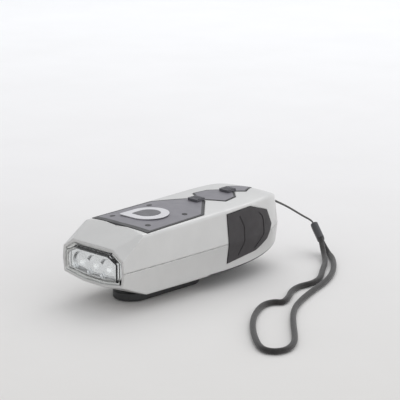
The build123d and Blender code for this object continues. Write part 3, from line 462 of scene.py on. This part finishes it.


# The silver's light wear colour near edges is partly worn paint and partly a painted highlight along the creases.
SILVER_LOOK = dict(grain=0.12 * MM, depth=0.004 * MM, mottle=0.025, wear=(0.8, 0.8, 0.79), rounding=1.1 * MM,
                   Metallic=0.25, Coat_Weight=0.25)
finishes = {
    "silver_shell": moulded("silver_paint", SILVER, 0.36, **SILVER_LOOK),
    # The panel's black band is its dark edge and painted shadow of the gap round it, widest at the front.
    "grey_trim": outlined("panel_trim", PANEL_EDGE_AND_GAP_SHADE),
    "grip_rubber": moulded("grip_rubber", (0.041, 0.037, 0.039), 0.62, grain=0.35 * MM, depth=0.02 * MM,
                           rounding=0.3 * MM, wear=(0.1, 0.095, 0.1)),
    "black_plastic": moulded("black_plastic", (0.034, 0.034, 0.035), 0.42, depth=0.012 * MM, rounding=0.3 * MM,
                             wear=(0.07, 0.07, 0.07)),
    "knob_silver": moulded("knob_silver", (0.66, 0.655, 0.68), 0.36, grain=0.12 * MM, depth=0.004 * MM,
                           mottle=0.03, rounding=0.3 * MM, wear=(0.8, 0.8, 0.8), Metallic=0.2, Coat_Weight=0.2),
    "knob_insert": moulded("knob_insert", (0.10, 0.098, 0.11), 0.4, rounding=0.2 * MM, wear=(0.2, 0.2, 0.21)),
    "clear_lens": clear("clear_lens", (0.97, 0.98, 0.98), 0.015),
    # The frame is bright metal behind the lens; its dark band along the top and near side is painted shade and dark
    # reflection.
    "gasket_rubber": moulded("gasket_rubber", (0.84, 0.84, 0.82), 0.4, over=(lens_frame_painted_shade, FRAME_PAINTED_SHADE), Metallic=1.0),
    "reflector_chrome": metal("reflector_chrome", (0.86, 0.87, 0.88), 0.09, wear=0.05, depth=0.002 * MM),
    # The LEDs are off; their faint glow is painted light standing in for the bright highlights in their domes.
    "led_epoxy": clear("led_epoxy", (0.97, 0.98, 0.98), 0.02, ior=1.54, painted_glow=0.14),
    "green_board": moulded("green_board", (0.02, 0.16, 0.06), 0.35, grain=0.5 * MM),
    "chip_black": moulded("chip_black", (0.018, 0.018, 0.02), 0.5),
    "steel": metal("steel", (0.56, 0.57, 0.58), 0.28, brushed=(1, 1, 8)),
    "gear_nylon": moulded("gear_nylon", (0.72, 0.70, 0.62), 0.4),
    "coil_copper": metal("coil_copper", (0.62, 0.27, 0.12), 0.35, brushed=(1, 1, 12)),
    "magnet_iron": metal("magnet_iron", (0.12, 0.12, 0.125), 0.55),
    "cell_wrap": moulded("cell_wrap", (0.03, 0.12, 0.30), 0.3),
    "bush_brass": metal("bush_brass", (0.68, 0.52, 0.24), 0.3, brushed=(1, 1, 10)),
    "strap_braid": fabric("strap_braid", (0.026, 0.024, 0.023), (0.22, 0.21, 0.20), 0.5 * MM),
    "ferrule_plastic": moulded("ferrule_plastic", (0.062, 0.062, 0.066), 0.45, rounding=0.3 * MM,
                               wear=(0.14, 0.14, 0.14)),
}
LOWER_SHELL = moulded("silver_paint_lower", SILVER, 0.36, over=(rear_underside, UNDER_BLACK), **SILVER_LOOK)
MIDDLE_TRIM = outlined("middle_trim", MIDDLE_EDGE_AND_GAP_SHADE)
TAIL_TRIM = outlined("tail_trim", TAIL_EDGE_AND_GAP_SHADE)
DOT_FINISH = moulded("dot_black", (0.01, 0.01, 0.011), 0.5)
CORD_FINISH = fabric("cord_twine", (0.10, 0.098, 0.095), (0.3, 0.29, 0.28), 0.25 * MM)

for entry in frame["record"]["subparts"]:
    mesh = frame["nodes"][entry["node"]].data
    mesh.materials.clear()
    mesh.materials.append(finishes[entry["material_slot"]])
for node, finish in (("lower_shell", LOWER_SHELL), ("middle_trim", MIDDLE_TRIM), ("tail_trim", TAIL_TRIM)):
    frame["nodes"][node].data.materials[0] = finish


# Cords


def spline(name, points):
    """A smooth open line through the route's control points."""
    curve = bpy.data.curves.new(name, "CURVE")
    curve.dimensions = "3D"
    curve.resolution_u = ROUTE_STEPS
    line = curve.splines.new("NURBS")
    line.points.add(len(points) - 1)
    for point, place in zip(line.points, points):
        point.co = (*place, 1.0)
    line.order_u = ROUTE_ORDER
    line.use_endpoint_u = True
    carrier = bpy.data.objects.new(name, curve)
    bpy.context.scene.collection.objects.link(carrier)
    mesh = bpy.data.meshes.new_from_object(carrier)
    path = np.array([vertex.co for vertex in mesh.vertices])
    bpy.data.objects.remove(carrier)
    bpy.data.meshes.remove(mesh)
    return path


def evenly(path, step):
    """The line's points again, one every step along it, and how far along each lies."""
    legs = np.linalg.norm(np.diff(path, axis=0), axis=1)
    far = np.concatenate([[0.0], np.cumsum(legs)])
    at = np.linspace(0, far[-1], max(2, round(far[-1] / step)))
    return np.stack([np.interp(at, far, path[:, i]) for i in range(3)], axis=1), at


def carried_frames(points):
    """Two directions across the line at each point, without twist."""
    along = np.gradient(points, axis=0)
    along /= np.linalg.norm(along, axis=1)[:, None]
    side = np.cross(along[0], (0.0, 0.0, 1.0))
    sides = []
    for way in along:
        side = side - way * np.dot(side, way)
        side /= np.linalg.norm(side)
        sides.append(side)
    sides = np.array(sides)
    return sides, np.cross(along, sides)


def skin(name, points, radii, around):
    """A closed tube mesh with its own radius at each point of each ring."""
    side, up = carried_frames(points)
    angle = np.linspace(0, 2 * np.pi, around, endpoint=False)
    out = side[:, None] * np.cos(angle)[:, None] + up[:, None] * np.sin(angle)[:, None]
    rings = points[:, None] + out * radii[..., None]
    count = len(points)
    vertices = rings.reshape(-1, 3).tolist()
    faces = []
    for ring in range(count - 1):
        for step in range(around):
            a, b = ring * around + step, ring * around + (step + 1) % around
            faces.append((a, b, b + around, a + around))
    faces.append(tuple(range(around))[::-1])
    faces.append(tuple(range((count - 1) * around, count * around)))
    mesh = bpy.data.meshes.new(name)
    mesh.from_pydata(vertices, [], faces)
    mesh.polygons.foreach_set("use_smooth", [True] * len(mesh.polygons))
    mesh.update()
    piece = bpy.data.objects.new(name, mesh)
    bpy.context.scene.collection.objects.link(piece)
    return piece


def braid_height(angle, along, yarns, lay):
    """Height of a braid's surface from 0 to 1: two families of yarns over and under each other."""
    right = yarns * (angle / (2 * np.pi) + along / lay)
    left = yarns * (angle / (2 * np.pi) - along / lay)
    over = (np.floor(right) + np.floor(left)) % 2 == 0
    first = np.abs(np.sin(np.pi * right))
    second = np.abs(np.sin(np.pi * left))
    top = np.where(over, first, second)
    under = np.where(over, second, first)
    return np.sqrt(top) * (OVER_SHARE + UNDER_SHARE * under)


def twist_height(angle, along, yarns, lay):
    """Height of a laid twine's surface from 0 to 1."""
    return np.sqrt(np.abs(np.sin(np.pi * yarns * (angle / (2 * np.pi) + along / lay))))


def laid_cord(name, route, diameter, height, yarns, lay, relief, around, step, finish):
    """A braided or twisted cord along a route, with the line it follows and its length."""
    points, along = evenly(spline(name + "_line", route), step)
    angle = np.linspace(0, 2 * np.pi, around, endpoint=False)
    lifted = height(angle[None, :], along[:, None], yarns, lay)
    radii = diameter / 2 - relief * (1 - lifted)
    piece = skin(name, points, radii, around)
    piece.data.materials.append(finish)
    return piece, points, float(along[-1])


strap, strap_line, strap_length = laid_cord("strap_braid", STRAP_POINTS, STRAP_D, braid_height, BRAID_YARNS, BRAID_LAY,
                                            BRAID_RELIEF, BRAID_ROUND, BRAID_STEP, finishes["strap_braid"])
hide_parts("wrist_strap")
twine, twine_line, twine_length = laid_cord("lanyard_twine", CORD_POINTS, CORD_D, twist_height, CORD_YARNS, CORD_LAY,
                                            CORD_RELIEF, CORD_ROUND, CORD_STEP, CORD_FINISH)
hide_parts("lanyard_cord")
for piece in (strap, twine):
    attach(piece, "housing")


# Reflector, lens frame, position dots and selector


def piece_from(name, vertices, faces, finish, smooth=True):
    """A mesh object from points in millimetres."""
    mesh = bpy.data.meshes.new(name)
    mesh.from_pydata((np.array(vertices) * MM).tolist(), [], faces)
    mesh.polygons.foreach_set("use_smooth", [smooth] * len(mesh.polygons))
    mesh.materials.append(finish)
    mesh.update()
    piece = bpy.data.objects.new(name, mesh)
    bpy.context.scene.collection.objects.link(piece)
    return piece


def slab(outline, columns, rows, front, back):
    """A closed plate over an outline of (x, bottom, top), with its front face at a depth given by (x, z)."""
    edge = np.array(outline)
    xs = np.linspace(edge[0, 0], edge[-1, 0], columns)
    low, high = np.interp(xs, edge[:, 0], edge[:, 1]), np.interp(xs, edge[:, 0], edge[:, 2])
    share = np.linspace(0, 1, rows)
    x = np.repeat(xs[:, None], rows, axis=1)
    z = low[:, None] + (high - low)[:, None] * share
    faces_y = (front(x, z), np.full_like(x, back))
    vertices = np.concatenate([np.stack([x, y, z], axis=-1).reshape(-1, 3) for y in faces_y])
    count = columns * rows
    faces = []
    for i in range(columns - 1):
        for j in range(rows - 1):
            a = i * rows + j
            faces.append((a, a + rows, a + rows + 1, a + 1))
            faces.append((a + count, a + count + 1, a + count + rows + 1, a + count + rows))
    rim = [i * rows for i in range(columns)] + [(columns - 1) * rows + j for j in range(1, rows)]
    rim += [i * rows + rows - 1 for i in range(columns - 2, -1, -1)] + list(range(rows - 2, 0, -1))
    for a, b in zip(rim, rim[1:] + rim[:1]):
        faces.append((b, a, a + count, b + count))
    return vertices, faces


def cups(x, z):
    """The reflector's front: three bowls that run into one another, each with fine rings."""
    depth = np.zeros_like(x)
    for middle in (-CUP_PITCH, 0.0, CUP_PITCH):
        r = np.hypot(x - middle, z - CUP_Z)
        bowl = CUP_DEPTH * (1 - (r / CUP_R) ** 2) + RIPPLE * np.sin(2 * np.pi * r / RIPPLE_PITCH) * (r < CUP_R)
        bowl = np.where(r < LED_HOLE, CUP_DEPTH, bowl)
        depth = np.maximum(depth, bowl)
    return WINDOW_Y + np.clip(depth, 0.0, CUP_DEPTH)


def reflector():
    """The bowls and the flange round them."""
    vertices, faces = slab(WINDOW, *WINDOW_GRID, cups, BACK_Y)
    flange, more = slab(FLANGE, *FLANGE_GRID, lambda x, z: np.full_like(x, FLANGE_Y[0]), FLANGE_Y[1])
    faces += [tuple(i + len(vertices) for i in face) for face in more]
    return piece_from("reflector_bowls", np.concatenate([vertices, flange]), faces, finishes["reflector_chrome"])


def lens_outline(inset):
    """The lens outline drawn in from the rim, as (x, z) all round."""
    across, upright = 1 - inset / LENS_HALF, 1 - 2 * inset / LENS_TALL
    half = [(x * across, LENS_MIDDLE_Z + (z - LENS_MIDDLE_Z) * upright) for x, z in LENS_CORNERS]
    return half + [(-x, z) for x, z in reversed(half)]


def lens_frame():
    """The frame round the reflector, just behind the lens."""
    outer, inner = FRAME_INSETS
    front, rear = FRAME_Y
    loops = [(outer, front), (outer, rear), (inner, rear), (inner, front)]
    around = 2 * len(LENS_CORNERS)
    vertices = [(x, y, z) for inset, y in loops for x, z in lens_outline(inset)]
    faces = []
    for loop in range(len(loops)):
        here, there = loop * around, (loop + 1) % len(loops) * around
        for step in range(around):
            following = (step + 1) % around
            faces.append((here + step, here + following, there + following, there + step))
    return piece_from("lens_frame", vertices, faces, finishes["gasket_rubber"], smooth=False)


def panel_top(x, y):
    """Height of the crowned panel."""
    return PANEL_Z - PANEL_FALL * (PANEL_REAR_Y - y) / PANEL_RUN - PANEL_CROWN * (x / PANEL_HALF) ** 2


def position_dots():
    """Slightly domed black dots let into the panel."""
    vertices, faces = [], []
    for cx, cy in DOTS:
        first = len(vertices)
        vertices.append((cx, cy, panel_top(cx, cy) + DOT_PROUD))
        for share, height in DOT_PROFILE[1:]:
            for step in range(DOT_ROUND):
                angle = 2 * math.pi * step / DOT_ROUND
                x, y = cx + DOT_R * share * math.cos(angle), cy + DOT_R * share * math.sin(angle)
                vertices.append((x, y, panel_top(x, y) + DOT_PROUD + height))
        for step in range(DOT_ROUND):
            following = (step + 1) % DOT_ROUND
            faces.append((first, first + 1 + step, first + 1 + following))
            for ring in range(len(DOT_PROFILE) - 2):
                a, b = first + 1 + ring * DOT_ROUND + step, first + 1 + ring * DOT_ROUND + following
                faces.append((a, a + DOT_ROUND, b + DOT_ROUND, b))
        faces.append(tuple(first + 1 + (len(DOT_PROFILE) - 2) * DOT_ROUND + step for step in range(DOT_ROUND))[::-1])
    return piece_from("position_dots", vertices, faces, DOT_FINISH, smooth=False)


def leaf(radius, rounding):
    """The selector's outline: a circle with one squared corner, its tip rounded, from the centre."""
    points = []
    for step in range(LEAF_ROUND + 1):
        angle = math.radians(-90 + 270 * step / LEAF_ROUND)
        points.append((radius * math.cos(angle), radius * math.sin(angle)))
    inner = radius - rounding
    for step in range(1, TIP_ROUND):
        angle = math.radians(180 + 90 * step / TIP_ROUND)
        points.append((-inner + rounding * math.cos(angle), -inner + rounding * math.sin(angle)))
    return points


def tipped(x, y, height):
    """A point over the sloping top at the selector, from its distance off the axis and above the panel."""
    lean = math.atan(PANEL_FALL / PANEL_RUN)
    back = SELECTOR_Y + y * math.cos(lean) - height * math.sin(lean)
    return x, back, SELECTOR_Z + y * math.sin(lean) + height * math.cos(lean)


def stacked(name, levels, finish):
    """A closed piece of leaf outlines joined level by level."""
    vertices, faces = [], []
    for radius, rounding, height in levels:
        vertices += [tipped(x, y, height) for x, y in leaf(radius, rounding)]
    count = LEAF_ROUND + TIP_ROUND
    for level in range(len(levels) - 1):
        for step in range(count):
            a, b = level * count + step, level * count + (step + 1) % count
            faces.append((a, b, b + count, a + count))
    faces.append(tuple(range(count))[::-1])
    faces.append(tuple(range((len(levels) - 1) * count, len(levels) * count)))
    return piece_from(name, vertices, faces, finish, smooth=False)


# The flat silver knob has its stem below and a recess for the dark insert, which is domed a little.
for piece, body, node, slot in (
    (reflector(), "housing", "reflector", "reflector_chrome"),
    (position_dots(), "housing", "position_marks", "black_plastic"),
    (lens_frame(), "housing", "lens_gasket", "gasket_rubber"),
    (stacked("selector_dial", DIAL_LEVELS, finishes["knob_silver"]), "selector", "selector_knob", "knob_silver"),
    (stacked("selector_inset", INSET_LEVELS, finishes["knob_insert"]), "selector", "selector_insert", "knob_insert"),
):
    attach(piece, body)
    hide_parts(node)


# Table, light and camera


def table():
    """A pale matt table that grows a little lighter towards the back: painted shade close to the camera and painted
    light far off.
    """
    bpy.ops.mesh.primitive_circle_add(vertices=TABLE_ROUND, radius=TABLE_R, fill_type="NGON",
                                      location=(0, 0, -TABLE_DROP))
    floor = bpy.context.object
    floor.name = "table"
    surface = Surface("table")
    turn = math.radians(CAMERA_TURN)
    away = surface.node("ShaderNodeVectorMath", operation="DOT_PRODUCT")
    away.inputs[1].default_value = (-math.sin(turn), math.cos(turn), 0)
    surface.link(surface.place, away.inputs[0])
    near = surface.ranged(away.outputs["Value"], *MIDDLE_SPAN)
    # Painted shade darkens the table towards the camera, and painted light brightens it towards the back.
    tone = surface.mixed(near, TABLE_CLOSE_PAINTED_SHADE, TABLE_MIDDLE)
    far = surface.ranged(away.outputs["Value"], *FAR_SPAN)
    tone = surface.mixed(far, tone, TABLE_FAR_PAINTED_LIGHT)
    cloud = surface.ranged(surface.noise(CLOUD_SIZE, detail=5.0), *SPREAD, *CLOUD_SHARE)
    tone = surface.mixed(cloud, tone, TABLE_CLOUD)
    surface.link(tone, surface.shader.inputs["Base Color"])
    surface.set(Specular_IOR_Level=0.2)
    gloss = surface.ranged(surface.noise(TABLE_GLOSS_SIZE), *SPREAD, *TABLE_ROUGH)
    surface.link(gloss, surface.shader.inputs["Roughness"])
    surface.link(surface.bump(surface.noise(TABLE_GRAIN), TABLE_GRAIN_DEPTH), surface.shader.inputs["Normal"])
    floor.data.materials.append(surface.material)


def lamp(name, at, aim, size, power):
    """A soft rectangular light aimed at a point."""
    light = bpy.data.lights.new(name, "AREA")
    light.shape = "RECTANGLE"
    light.size, light.size_y = size
    light.energy = power
    lamp_object = bpy.data.objects.new(name, light)
    lamp_object.location = at
    lamp_object.rotation_euler = (Vector(aim) - Vector(at)).to_track_quat("-Z", "Y").to_euler()
    bpy.context.scene.collection.objects.link(lamp_object)


def studio():
    """Soft light from above and behind, with a pale room all round."""
    world = bpy.data.worlds.new("room")
    world.use_nodes = True
    background = world.node_tree.nodes["Background"]
    nodes, links = world.node_tree.nodes, world.node_tree.links
    background.inputs["Color"].default_value = ROOM_TINT
    way = nodes.new("ShaderNodeTexCoord")
    facing = nodes.new("ShaderNodeVectorMath")
    facing.operation = "DOT_PRODUCT"
    facing.inputs[1].default_value = ROOM_BRIGHT_WAY
    links.new(way.outputs["Generated"], facing.inputs[0])
    level = nodes.new("ShaderNodeMapRange")
    for name, number in (("From Min", -1.0), ("From Max", 1.0), ("To Min", ROOM_LEVELS[0]),
                         ("To Max", ROOM_LEVELS[1])):
        level.inputs[name].default_value = number
    links.new(facing.outputs["Value"], level.inputs["Value"])
    links.new(level.outputs[0], background.inputs["Strength"])
    bpy.context.scene.world = world
    for settings in LAMPS:
        lamp(*settings)


def camera():
    """The camera solved from the photograph."""
    view = bpy.data.cameras.new("camera")
    view.sensor_width = SENSOR
    view.lens = LENS
    view.clip_start = CLIP_START
    seat = bpy.data.objects.new("camera", view)
    seat.location = CAMERA_AT
    seat.rotation_euler = (math.radians(CAMERA_TILT), 0, math.radians(CAMERA_TURN))
    bpy.context.scene.collection.objects.link(seat)
    bpy.context.scene.camera = seat


table()
studio()
camera()
bpy.context.scene.view_settings.view_transform = "Standard"
